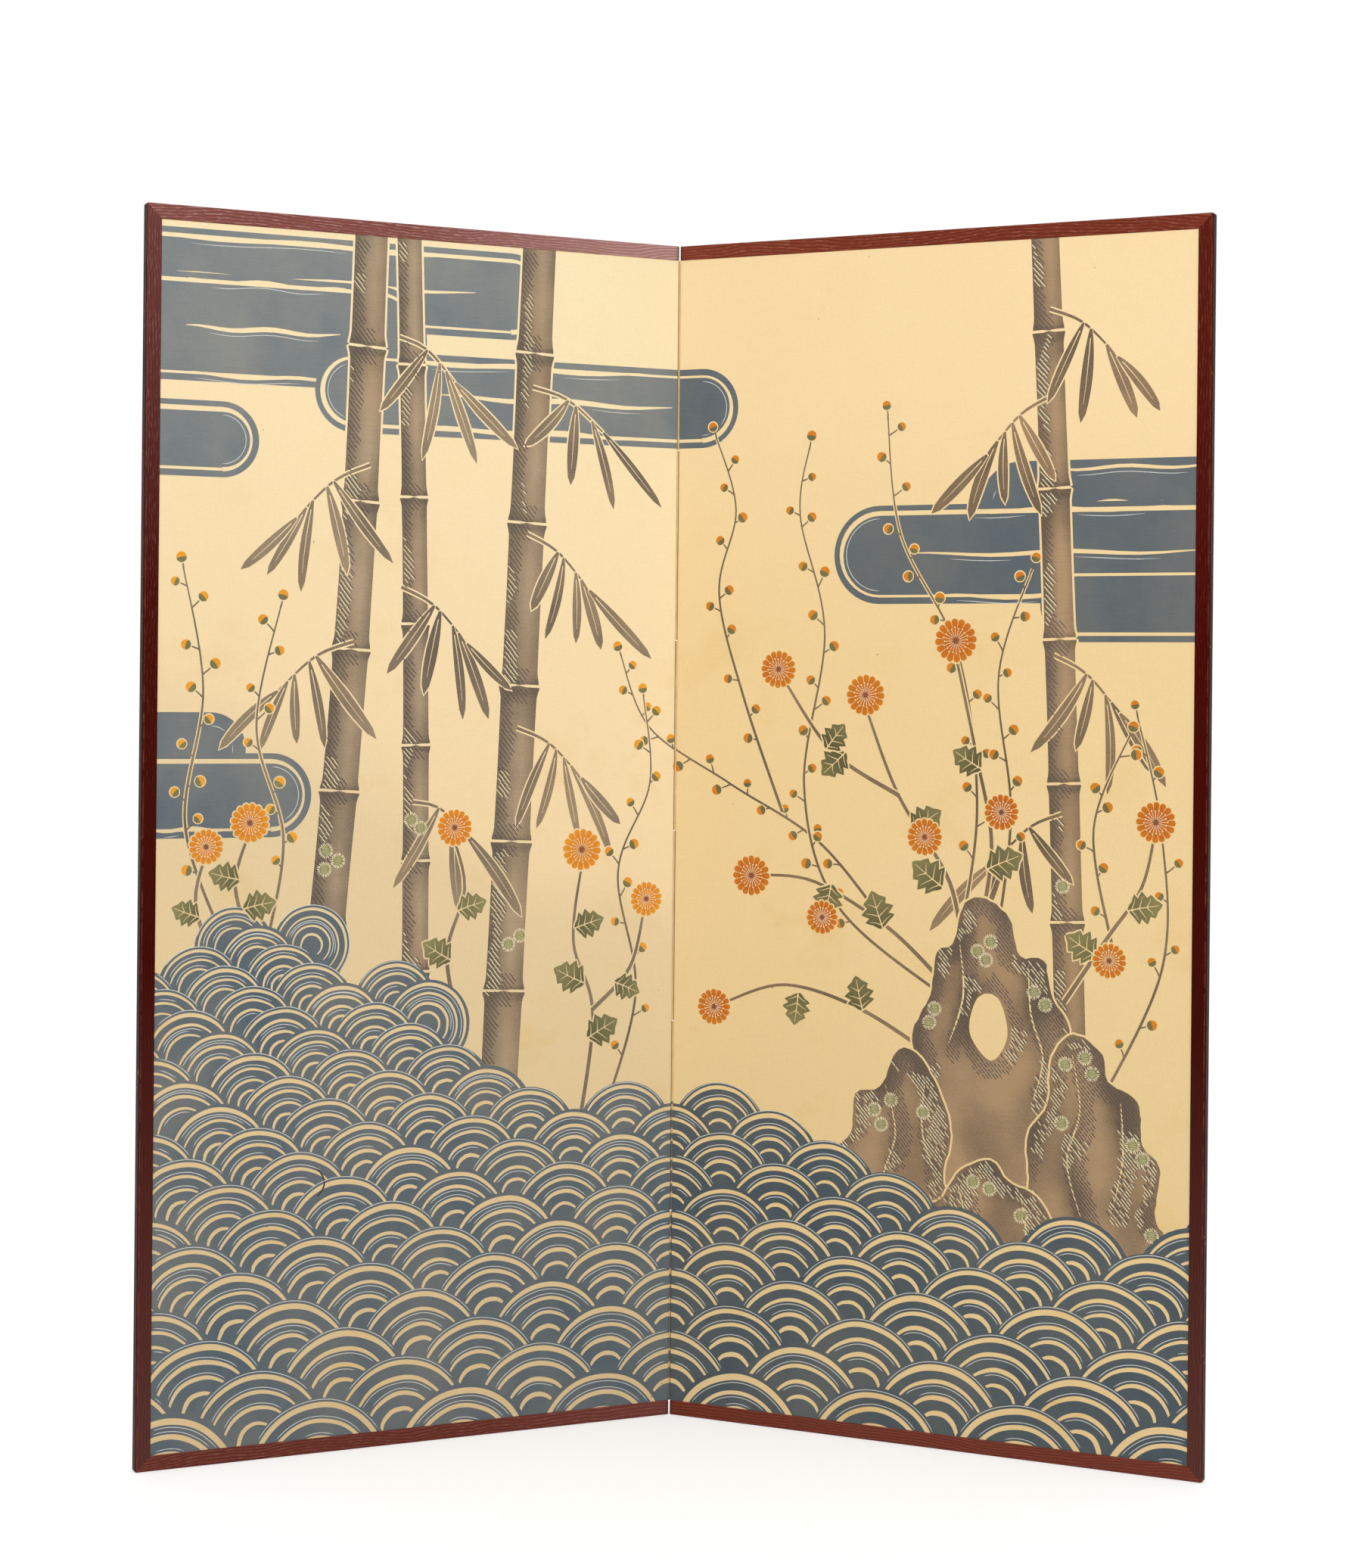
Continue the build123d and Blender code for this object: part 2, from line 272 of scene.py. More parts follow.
def lacquerMaterial(side, part):
    m = Finish(side + "_" + part + "_lacquer", side)
    look = woodLook[side]
    rail = part == "rail"
    x, y, z = m.axes()
    fromFold = m.size(x)
    # the bottom rail takes on some of the top rail's paler tone towards the fold; the top rail's tone is paler partly
    # from fading and dust and partly as painted sheen, and turns to a painted reflection at its fold end
    if rail:
        foot = m.blend(m.between(fromFold, 0.3, 0.02, 0, 0.5), look["foot"], look["head"])
        head = m.blend(m.between(fromFold, 0.42, 0.0), look["head"], look["foldEndReflection"])
        base = m.blend(m.between(z, 0.8, 0.9), foot, head)
    else:
        # painted sheen: the stile is paler at its foot and its top
        base = m.ramp(m.over(z, panels["height"]), look["stile"])
    m.colour = m.blend(m.between(y, 0.011, 0.005), woodLook["behind"], base)

    def along(much):
        return (much, 1, 1) if rail else (1, 1, much)  # drawn out along the grain

    rings = m.plus(m.times(z if rail else x, 235.0), m.times(y, 60.0))
    rings = m.calc("FRACT", m.plus(rings, m.times(m.cloud(4.2, 3, stretch=along(0.7)), 15.0)))
    line = m.between(m.size(m.minus(rings, 0.5)), 0.14, 0.42)
    fibre = m.cloud(620, 3, 0.6, along(0.05))
    short = m.between(m.cloud(760, 2, 0.6, along(0.11)), 0.52, 0.64)
    dark = m.times(line, m.between(fibre, 0.3, 0.6, 0.3, 1), clamp=True)
    m.dim(m.minus(m.spread(fibre, 0.86, 1.12), m.times(dark, 0.42 if rail else 0.20)))
    # painted sheen: the pale grain dashes show more strongly up the frame, over the real grain
    shown = m.between(z, 0.8, 1.5, 0.12, 0.5) if rail else m.between(z, 0.9, 1.6, 0.01, 0.16)
    pale = m.times(m.times(short, m.minus(1.0, line)), shown, clamp=True)
    m.lay(pale, look["grainDashAndSheen"])
    worn = m.between(m.cloud(46, 4, 0.65), 0.42, 0.6, 0, 0.6)
    rim = m.times(m.between(fromFold, 0.7974, 0.7984), m.between(fromFold, 0.7998, 0.7992))
    m.lay(m.times(rim, worn, clamp=True), woodLook["arris"])
    m.lay(m.between(fromFold, 0.7996, 0.8006, 0, 0.85), woodLook["edge"])
    outer = m.between(fromFold, 0.7993, 0.8008)
    arris = m.larger(m.between(z, 0.002, 0.0004), m.between(z, 1.7182, 1.7197))
    chips = m.between(m.cloud(95, 4, 0.65), 0.64, 0.70)
    chip = m.times(m.larger(arris, m.times(outer, 0.6)), chips, clamp=True)
    m.lay(m.times(chip, 0.8), woodLook["bare"])
    if rail:
        # painted shade: the rails darken at their ends by the fold
        m.lay(m.between(fromFold, 0.007, 0.0015, 0, 0.75), woodLook["tip"])
    return m.done(m.spread(fibre, 0.32, 0.46), m.minus(m.times(pale, 0.5), m.times(dark, 0.8)), 0.0003,
                  Specular_IOR_Level=woodLook["gloss"])


plainLook = {  # two tones, roughness, and the grain's scale, detail, roughness and stretch
    "core_wood": ((214, 178, 130), (186, 146, 98), 0.75, (420, 4, 0.6, (1, 1, 0.04))),
    "nail_iron": ((92, 88, 84), (60, 54, 50), 0.45, (300, 3)),
    "underlay_paper": ((232, 222, 200), (216, 203, 176), 0.9, (140, 4, 0.65, (1, 1, 0.3))),
    "hinge_paper": ((238, 212, 158), (222, 192, 136), 0.85, (140, 4, 0.65, (1, 1, 0.3))),
}


def plainMaterial(kind):
    m = Finish(kind)
    first, second, rough, grain = plainLook[kind]
    grain = m.cloud(*grain)
    weight = m.plus(m.between(grain, 0.32, 0.68, 0, 0.7), m.spread(m.cloud(9, 3), 0, 0.3), clamp=True)
    m.colour = m.blend(weight, first, second)
    return m.done(rough, grain, 0.0002, Metallic=0.9 if kind == "nail_iron" else 0.0)


backLook = {
    "ground": (196, 182, 152), "ground2": (178, 162, 130), "fibre": (214, 203, 176),
    "print": (122, 116, 96), "cellWidth": 0.092, "cellHeight": 0.062, "printDepth": 0.55,
}


def backPaperMaterial(side):
    m = Finish(side + "_back_paper_print", side)
    x, y, z = m.axes()
    px = m.fold(m.over(x, backLook["cellWidth"] / 2), 1.0)
    pz = m.fold(m.over(z, backLook["cellHeight"] / 2), 1.0)
    shape = m.below(m.size(m.minus(m.plus(px, pz), 1.0)), 0.045)
    for a, b in ((px, pz), (m.minus(1.0, px), m.minus(1.0, pz))):  # a four-petalled flower in each lozenge
        petal = m.power(m.minus(m.larger(a, b), 0.25), 2.0)
        petal = m.plus(petal, m.times(m.power(m.smaller(a, b), 2.0), 2.2))
        shape = m.larger(shape, m.below(petal, 0.030))
        core = m.plus(m.power(a, 2.0), m.power(b, 2.0))
        shape = m.minus(shape, m.below(core, 0.0035), clamp=True)
    fibre = m.cloud(120, 4, 0.65, (1, 1, 0.4))
    m.colour = m.blend(m.spread(m.cloud(3, 4)), backLook["ground"], backLook["ground2"])
    m.lay(m.between(fibre, 0.4, 0.7, 0, 0.3), backLook["fibre"])
    worn = m.between(m.cloud(34, 4, 0.7), 0.38, 0.55, 0.25, 1)
    m.lay(m.times(m.times(shape, worn), backLook["printDepth"]), backLook["print"])
    return m.done(0.85, fibre, 0.00025)


plain = {kind: plainMaterial(kind) for kind in plainLook}
threads = {kind: threadMaterial(kind) for kind in threadLook}
plainKinds = {"nails": "nail_iron", "core_": "core_wood", "splines": "core_wood",
              "flaps": "hinge_paper", "edge": "hinge_paper", "": "underlay_paper"}  # by a word in the node's name
for side in sides:
    rail = lacquerMaterial(side, "rail")
    special = {"frame_stile": lacquerMaterial(side, "stile"), "frame_top_rail": rail, "frame_bottom_rail": rail,
               "back_paper": backPaperMaterial(side)}
    for name, node in nodes.items():
        if not name.startswith(side):
            continue
        kind = name.split("_", 1)[1]
        mat = special.get(kind) or plain[next(look for word, look in plainKinds.items() if word in kind)]
        if not node.material_slots:
            node.data.materials.append(mat)
        for slot in node.material_slots:
            slot.material = mat
print("frame, core and papers finished")


# the picture's outlines, in mm across and up

picture = []  # outlines from the ground up: (dye or None for bare silk, points, tone)
stitches = {kind: [] for kind in threadLook}  # x, z, direction, length, width, and how much lay under it
runs = []  # couched threads: points, and how much lay under them
couchWidth = 1.15


def paint(dye, outline, tone=0.5):
    area = sum(a[0] * b[1] - b[0] * a[1] for a, b in edgesOf(outline))
    if len(outline) > 2:
        picture.append((dye, outline if area > 0 else outline[::-1], tone))


def stitch(kind, x, z, direction, length, width):
    stitches[kind].append((x, z, direction, length, width, len(picture)))


def hatch(x, z, direction, length, bright):
    # a shading stitch; a pale one has a dark one beside it
    stitch("pale" if bright else "dark", x, z, direction, length, 1.35)
    if bright:
        stitch("dark", *away(x, z, 2.0, direction + pi / 2), direction, length, 1.2)


def couch(line):
    runs.append((line, len(picture)))


def jitter(much):
    return vary(-much, much)


def clip(t):
    return min(max(t, 0), 1)


def away(x, z, far, angle):
    return x + far * cos(angle), z + far * sin(angle)


def halfway(a, b, right=0, up=0):
    return (a[0] + b[0]) / 2 + right, (a[1] + b[1]) / 2 + up


def curvePart(p0, p1, p2, p3, step):
    # from p1 up to p2 on a smooth curve through all four
    parts = max(2, int(dist(p1, p2) / step))
    return [tuple(0.5 * (2 * b + (c - a) * t + (2 * a - 5 * b + 4 * c - d) * t * t + (3 * b - a - 3 * c + d) * t ** 3)
                  for a, b, c, d in zip(p0, p1, p2, p3)) for t in (k / parts for k in range(parts))]


def smoothLine(points, step):
    p = points[:1] + points + points[-1:]
    return [q for i in range(len(points) - 1) for q in curvePart(*p[i:i + 4], step)] + [tuple(points[-1])]


def smoothLoop(points, step):
    p = points[-1:] + points + points[:2]
    return [q for i in range(len(points)) for q in curvePart(*p[i:i + 4], step)]


def sideways(line):
    result = []
    for i in range(len(line)):
        a, b = line[max(i - 1, 0)], line[min(i + 1, len(line) - 1)]
        dx, dz = b[0] - a[0], b[1] - a[1]
        far = hypot(dx, dz) or 1
        result.append((-dz / far, dx / far))
    return result


def offsetLine(line, far):
    # far(t) is the distance to the left at t from 0 to 1
    count = len(line) - 1
    return [(p[0] + n[0] * far(i / count), p[1] + n[1] * far(i / count))
            for i, (p, n) in enumerate(zip(line, sideways(line)))]


def ribbon(line, width):
    return offsetLine(line, lambda t: width(t) / 2) + offsetLine(line, lambda t: -width(t) / 2)[::-1]


def swelling(full, ends):
    return lambda t: full * (ends + (1 - ends) * sin(pi * clip(t)) ** 0.8)


def stroke(dye, line, first, last, tone=0.5):
    paint(dye, ribbon(line, lambda t: first + (last - first) * t), tone)


def disc(x, z, radius, parts):
    return [away(x, z, radius, 2 * pi * k / parts) for k in range(parts)]


def edgesOf(loop):
    return zip(loop, loop[1:] + loop[:1])


def extent(outline):
    xs, zs = zip(*outline)
    return min(xs), max(xs), min(zs), max(zs)


def heightOn(profile, x):
    for (x0, z0), (x1, z1) in zip(profile, profile[1:]):
        if x0 <= x <= x1:
            t = (x - x0) / (x1 - x0)
            t = t * t * (3 - 2 * t)
            return z0 + (z1 - z0) * t
    return profile[0][1] if x < profile[0][0] else profile[-1][1]


# scale waves along the foot of both panels
sea = {
    "crest": [(-800, 655), (-610, 742), (-430, 640), (-270, 500), (-60, 432), (120, 452),
              (330, 352), (520, 268), (650, 300), (800, 366)],
    "topRadius": 52, "footRadius": 106, "highest": 760, "lowest": -60,
    "rings": [(0.90, 0.078), (0.70, 0.060), (0.485, 0.062), (0.28, 0.066)],  # radius and width, in scale radii
    "threadGap": 3.4,
}


def seaScales():
    rows = []
    z = sea["highest"]
    while z > sea["lowest"]:
        radius = sea["topRadius"] + (sea["footRadius"] - sea["topRadius"]) * ((sea["highest"] - z) / sea["highest"])
        places = ((k + 0.5 * (len(rows) % 2)) * 2 * radius for k in range(-12, 13))
        rows.append([(x, z, radius) for x in places
                     if abs(x) < 800 + radius and z < heightOn(sea["crest"], x) - 0.2 * radius])
        z -= 0.5 * radius
    return rows


def drawScale(x, z, radius, near):
    def hidden(angle, r):
        place = away(x, z, r, angle)
        return any(dist(place, c[:2]) < c[2] for c in near)

    paint("blue", disc(x, z, radius, 40), 0.5 + jitter(0.12))
    for far, wide in sea["rings"]:
        r = radius * far * (1 + jitter(0.012))
        limits = []
        for way in (1, -1):
            angle = pi / 2
            while abs(angle - pi / 2) < 2.3 and not hidden(angle, r):
                angle += way * 0.05
            limits.append(angle + way * 4 / r)
        start, length = limits[1], abs(limits[0] - limits[1]) * r
        if length < 12 or limits[0] < pi / 2 + 0.06:
            continue
        parts = max(5, int(length / 6))
        wobble = vary(0, 9)
        line = []
        for k in range(parts + 1):
            angle = start + (limits[0] - start) * k / parts
            line.append(away(x, z, r + 0.012 * radius * noise.noise((x * 0.05, wobble, angle * 2)), angle))
        shape = swelling(radius * wide * (1 + jitter(0.15)), 0.45)
        paint(None, ribbon(line, shape))
        if far > 0.3:
            way = 1 if hand.random() < 0.75 else -1
            edge = offsetLine(line, lambda t: -way * (shape(t) / 2 + sea["threadGap"]))
            couch(edge[hand.randint(1, 3):-hand.randint(1, 3)])


def drawSea():
    rows = seaScales()
    for i, row in enumerate(rows):
        covers = [c for later in rows[i + 1:i + 5] for c in later]
        for x, z, radius in row:
            drawScale(x, z, radius, [c for c in covers if dist(c[:2], (x, z)) < radius + c[2]])


# long mist bands with round ends
mist = {
    "bands": [(-900, -205, 1628, 62), (-900, -395, 1556, 74), (-560, 96, 1480, 58), (-900, -640, 1404, 52),
              (470, 900, 1330, 60), (250, 900, 1262, 70), (560, 900, 1190, 52), (-900, -655, 980, 50),
              (-900, -560, 916, 58)],  # ends across, height of the middle, half the width
    "lineInset": 11, "lineWidth": 5.5, "threadInset": 18.5, "seen": 840,
}


def capsule(x0, x1, z, half, parts=18):
    return [away(x, z, half, start + pi * k / parts)
            for x, start in ((x1 - half, -pi / 2), (x0 + half, pi / 2)) for k in range(parts + 1)]


def drawMist():
    for x0, x1, z, half in mist["bands"]:
        paint("blue", capsule(x0, x1, z, half, 22), 0.55)
        line, thread = (capsule(x0 + far, x1 - far, z, half - far) for far in (mist["lineInset"], mist["threadInset"]))
        wave = vary(0, 9)
        paint(None, ribbon(line + line[:1], lambda t: mist["lineWidth"] * (1 + 0.35 * sin(9 * t + wave))))
        couch(thread + thread[:1])
        streaks = 3 if half > 55 else 2
        for k in range(streaks):
            y = z + (k - (streaks - 1) / 2) * (half - 18) * 1.15
            a = max(x0 + 70 + vary(0, 120), -mist["seen"])
            b = min(x1 - half - vary(0, 130), mist["seen"])
            if b - a < 90:
                continue
            line = [(a + (b - a) * s / 14, y + 2.2 * sin(s * 0.9 + k)) for s in range(15)]
            paint(None, ribbon(line, swelling(vary(5, 9), 0.15)))
            couch([(p[0], p[1] - 8.0) for p in line[2:-2]])


# bamboo culms, each with its joints, wash and stitched shade
bamboo = {
    "culms": [  # foot, head, width, first length between joints
        ((-548, 610), (-478, 1740), 54, 182),
        ((-404, 560), (-424, 1740), 40, 150),
        ((-276, 470), (-222, 1740), 58, 205),
        ((618, 300), (560, 1740), 46, 168),
    ],
    "growth": 1.045, "jointGap": 4.0, "halo": 3.2, "hatch": 5.4, "stitchStep": 7.0, "slope": -0.82,
    "mossAt": [(-540, 812), (-520, 824), (-538, 838), (-262, 700), (-244, 712), (-412, 880), (-398, 868), (596, 800)],
}


def drawCulm(foot, head, width, first):
    far = dist(foot, head)
    along = [(h - f) / far for f, h in zip(foot, head)]
    across = (along[1], -along[0])  # to the right of a rising culm
    bow = vary(-14, 14)

    def at(s, u):
        u += bow * sin(pi * s / far)
        return tuple(f + a * s + c * u for f, a, c in zip(foot, along, across))

    cuts = [0, 0.02, 0.045, 0.08, 0.15, 0.3, 0.5, 0.7, 0.86, 0.93, 0.965, 0.985, 1]
    swell = [1 + 0.11 * exp(-(t / 0.045) ** 2) + 0.13 * exp(-((1 - t) / 0.04) ** 2) - 0.02 * sin(pi * t) for t in cuts]
    s = -vary(20, 90)
    length = first
    while s < far:
        a, b = s, s + length - bamboo["jointGap"]
        half = width / 2 * (1 - 0.12 * max(0, s) / far)

        def rim(way, grow=0):
            return [at(a + (b - a) * t, way * (half * more + grow)) for t, more in zip(cuts, swell)]

        def tone(point, a=a, b=b, half=half):
            dx, dz = point[0] - foot[0], point[1] - foot[1]
            s = dx * along[0] + dz * along[1]
            u = dx * across[0] + dz * across[1] - bow * sin(pi * s / far)
            t = clip((s - a) / (b - a))
            v = clip((u / half + 1) / 2)
            body = 0.05 + 0.95 * max(0, 1 - abs(v - 0.64) / 0.6)
            return body * (0.55 + 0.45 * sin(pi * min(1, t * 1.15)) ** 0.6) - (0.25 if t > 0.95 or t < 0.03 else 0)

        halo = bamboo["halo"]
        paint(None, [at(a - 2, -half), at(a - 2, half)] + rim(1, halo) + [at(b + 4, half), at(b + 4, -half)]
              + rim(-1, halo)[::-1])
        low = [at(a, -half * 0.4), at(a - 1.2, 0), at(a, half * 0.4)]
        top = [at(b, half * 0.4), at(b + 2, 0), at(b, -half * 0.4)]
        paint("wash", low + rim(1) + top + rim(-1)[::-1], tone)
        sheen = [[at(a + 3 + (b - a - 6) * t, half * u) for t in cuts] for u in (0.36, 0.14)]
        paint("wash", sheen[0] + sheen[1][::-1], tone)
        k = a + 4
        lines = 0
        while half > 15 and k < b - 2:
            t = (k - a) / (b - a)
            reach = 0.30 + 0.22 * noise.noise((k * 0.02, width, 3)) + (0.35 if t < 0.1 or t > 0.9 else 0)
            u = -half * 0.97 + 2.3 * (lines % 3)
            row = 0
            while u < -half + 2 * half * reach:
                x, z = at(k + jitter(0.6), u + 3.2)
                bright = noise.noise((x * 0.02, z * 0.013, 5)) > 0.12 and row < 3
                hatch(x, z, bamboo["slope"] + jitter(0.06), vary(7.5, 11.5), bright)
                u += bamboo["stitchStep"]
                row += 1
            k += bamboo["hatch"]
            lines += 1
        s += length
        length *= bamboo["growth"]


def bladeLine(x, z, angle, length, width, bend):
    line = []
    for k in range(11):
        line.append((x, z))
        x, z = away(x, z, length / 10, angle)
        angle += bend / 10
    return line, ribbon(line, lambda t: max(0.5, width * (sin(pi * (t * 0.86 + 0.04)) ** 0.75 if t < 1 else 0.02)))


def drawBlade(x, z, angle, length, width, bend, tone):
    line, outline = bladeLine(x, z, angle, length, width, bend)
    paint(None, bladeLine(*away(x, z, -2, angle), angle, length + 5, width + 4.5, bend)[1])
    paint("wash", outline, tone)
    stroke(None, line[1:-2], 1.5, 0.6)


leafSprays = {
    "twigs": [  # start, end, leaves
        ((-478, 1378), (-585, 1300), 5), ((-430, 1208), (-330, 1130), 5), ((-240, 1290), (-140, 1210), 5),
        ((-232, 1500), (-120, 1440), 4), ((-500, 1130), (-610, 1060), 5), ((-252, 1010), (-150, 938), 5),
        ((-410, 905), (-330, 860), 3), ((574, 1480), (480, 1400), 5), ((580, 1120), (676, 1040), 5),
        ((594, 900), (500, 832), 4), ((570, 1600), (668, 1530), 4), ((-436, 1560), (-352, 1500), 4),
    ],
    "length": (92, 150), "width": (13, 18),
}


def drawStem(points, first, last):
    line = smoothLine(points, 12)
    stroke(None, line, first + 4.4, last + 4.4)
    stroke("wash", line, first, last, 0.3)
    return line


def drawLeafSprays():
    for start, end, count in leafSprays["twigs"]:
        line = drawStem([start, halfway(start, end, 0, 14), end], 4.6, 2.2)
        way = 1 if end[0] > start[0] else -1
        for k in range(count):
            p = line[int((0.45 + 0.55 * k / (count - 1)) * (len(line) - 1))]
            angle = -pi / 2 + way * (-0.55 + 1.35 * k / (count - 1)) + jitter(0.12)
            length, width = vary(*leafSprays["length"]), vary(*leafSprays["width"])
            drawBlade(*p, angle, length, width, way * vary(-0.35, 0.15), vary(0.15, 0.6))


# a garden rock with wash, hatching and embroidered moss
rock = {
    "lobes": [  # from the back one to the front one: outline, creases
        ([(392, 300), (368, 420), (394, 510), (376, 584), (402, 640), (410, 700), (438, 718), (450, 768), (488, 782),
          (522, 750), (532, 706), (568, 692), (580, 640), (606, 600), (598, 520), (622, 440), (600, 300)],
         [[(446, 716), (452, 640), (430, 570)], [(548, 690), (552, 620), (570, 560), (556, 500)]]),
        ([(262, 130), (244, 280), (266, 350), (252, 404), (284, 442), (292, 492), (330, 510), (352, 556), (392, 544),
          (418, 500), (438, 440), (424, 380), (448, 320), (440, 130)],
         [[(336, 508), (352, 440), (334, 372), (352, 300)], [(396, 520), (392, 452), (408, 396)]]),
        ([(540, 130), (524, 300), (552, 380), (544, 450), (576, 500), (582, 562), (614, 594), (652, 574), (668, 530),
          (706, 508), (716, 452), (742, 418), (734, 350), (756, 300), (744, 130)],
         [[(612, 570), (624, 490), (606, 420), (628, 340)], [(682, 508), (686, 430), (672, 360)]]),
        ([(360, 110), (350, 260), (378, 330), (420, 350), (446, 398), (494, 412), (522, 382), (562, 370), (594, 318),
          (620, 250), (622, 110)],
         [[(446, 380), (458, 320), (444, 260)], [(540, 366), (548, 310), (536, 250)]]),
    ],
    "hole": [(462, 590), (474, 640), (504, 640), (518, 588), (494, 552)],
    "mossAt": [
        (470, 706), (494, 720), (486, 694), (556, 650), (574, 632), (404, 600), (412, 622), (318, 470),
        (342, 488), (330, 450), (276, 380), (296, 366), (392, 470), (604, 556), (628, 566), (640, 544),
        (700, 450), (712, 428), (596, 470), (726, 330), (470, 380), (492, 372), (540, 340), (412, 322)],
    "hatch": 4.0, "stitchStep": 9.6, "slope": -0.86, "mossRadius": 10.5,
}


def nearest(loop, x, z):
    best = 1e9
    for (ax, az), (bx, bz) in edgesOf(loop):
        dx, dz = bx - ax, bz - az
        t = clip(((x - ax) * dx + (z - az) * dz) / (dx * dx + dz * dz or 1))
        best = min(best, hypot(x - ax - t * dx, z - az - t * dz))
    return best


def insideLoop(loop, x, z):
    result = False
    for (ax, az), (bx, bz) in edgesOf(loop):
        if (az > z) != (bz > z) and x < (bx - ax) * (z - az) / (bz - az) + ax:
            result = not result
    return result


def grown(loop, amount):
    result = []
    for (ax, az), (x, z), (bx, bz) in zip(loop[-1:] + loop, loop, loop[1:] + loop[:1]):
        dx, dz = bx - ax, bz - az
        far = hypot(dx, dz) or 1
        result.append((x - dz / far * amount, z + dx / far * amount))
    return result


def drawLobe(points, creases, hole):
    loop = smoothLoop([(x + jitter(5), z + jitter(5)) for x, z in points], 8)
    loop = [tuple(c + 2.2 * noise.noise((x * 0.09, z * 0.09, seed)) for c, seed in ((x, 1), (z, 6))) for x, z in loop]
    creases = [smoothLine(c, 9) for c in creases]
    edges = [loop, hole] if hole else [loop]
    paint(None, grown(loop, 3.2))

    def fromEdge(x, z):
        return min(nearest(e, x, z) for e in edges)

    def tone(point):
        x, z = point
        crease = min(dist(point, c) for line in creases for c in line)
        cloudy = noise.noise((x * 0.017, z * 0.008, 2))
        return 0.10 + 0.66 * min(1, fromEdge(x, z) / 36) - 0.34 * exp(-(crease / 16) ** 2) + 0.7 * cloudy

    x0, x1, z0, z1 = extent(loop)
    paint("wash", loop, tone)
    for x in range(int(x0), int(x1), 15):
        for z in range(int(z0), int(z1), 15):
            if insideLoop(loop, x, z) and nearest(loop, x, z) > 7:
                paint("wash", [(x - 4, z - 4), (x + 4, z - 4), (x, z + 4)], tone)
    if hole:
        paint(None, hole)
    for crease in creases:
        paint(None, ribbon(crease, swelling(3.0, 0.2)))
    dx, dz = cos(rock["slope"]), sin(rock["slope"])
    middle = (x0 + x1) / 2, (z0 + z1) / 2
    far = hypot(x1 - middle[0], z1 - middle[1])
    u = -far
    while u < far:
        s = -far + vary(0, 9)
        while s < far:
            x, z = middle[0] + dx * s - dz * u, middle[1] + dz * s + dx * u
            inside = insideLoop(loop, x, z) and not (hole and insideLoop(hole, x, z))
            edge = inside and fromEdge(x, z)
            if edge > 4:
                beside = min(hypot(x - c[0] - 9, (z - c[1]) * 0.6) for line in creases for c in line)
                patch = noise.noise((x * 0.012, z * 0.012, 8))
                if edge < 25 + 26 * patch or beside < 14 + 10 * patch:
                    bright = noise.noise((x * 0.015, z * 0.015, 4)) > 0.02 and hand.random() < 0.78
                    hatch(x, z, rock["slope"] + jitter(0.06), vary(8, 12), bright)
            s += rock["stitchStep"]
        u += rock["hatch"]


def drawRock():
    for i, (points, creases) in enumerate(rock["lobes"]):
        drawLobe(points, creases, None if i else smoothLoop(rock["hole"], 8))
    for x, z in rock["mossAt"]:
        drawMoss(x + jitter(3), z + jitter(3))


def drawMoss(x, z):
    radius = rock["mossRadius"]
    paint("moss", disc(x, z, radius * 0.78, 16), 0.5)
    for k in range(6):
        off = (k - 2.5) * radius * 0.22
        stitch("green", x + off * 0.2, z - off, 0.2, radius * (1.24 - 0.15 * abs(k - 2.5)), 1.05)
    for k in range(22):
        angle = 2 * pi * k / 22 + jitter(0.05)
        stitch("cream", *away(x, z, radius * 0.86, angle), angle, radius * 0.42, 1.3)


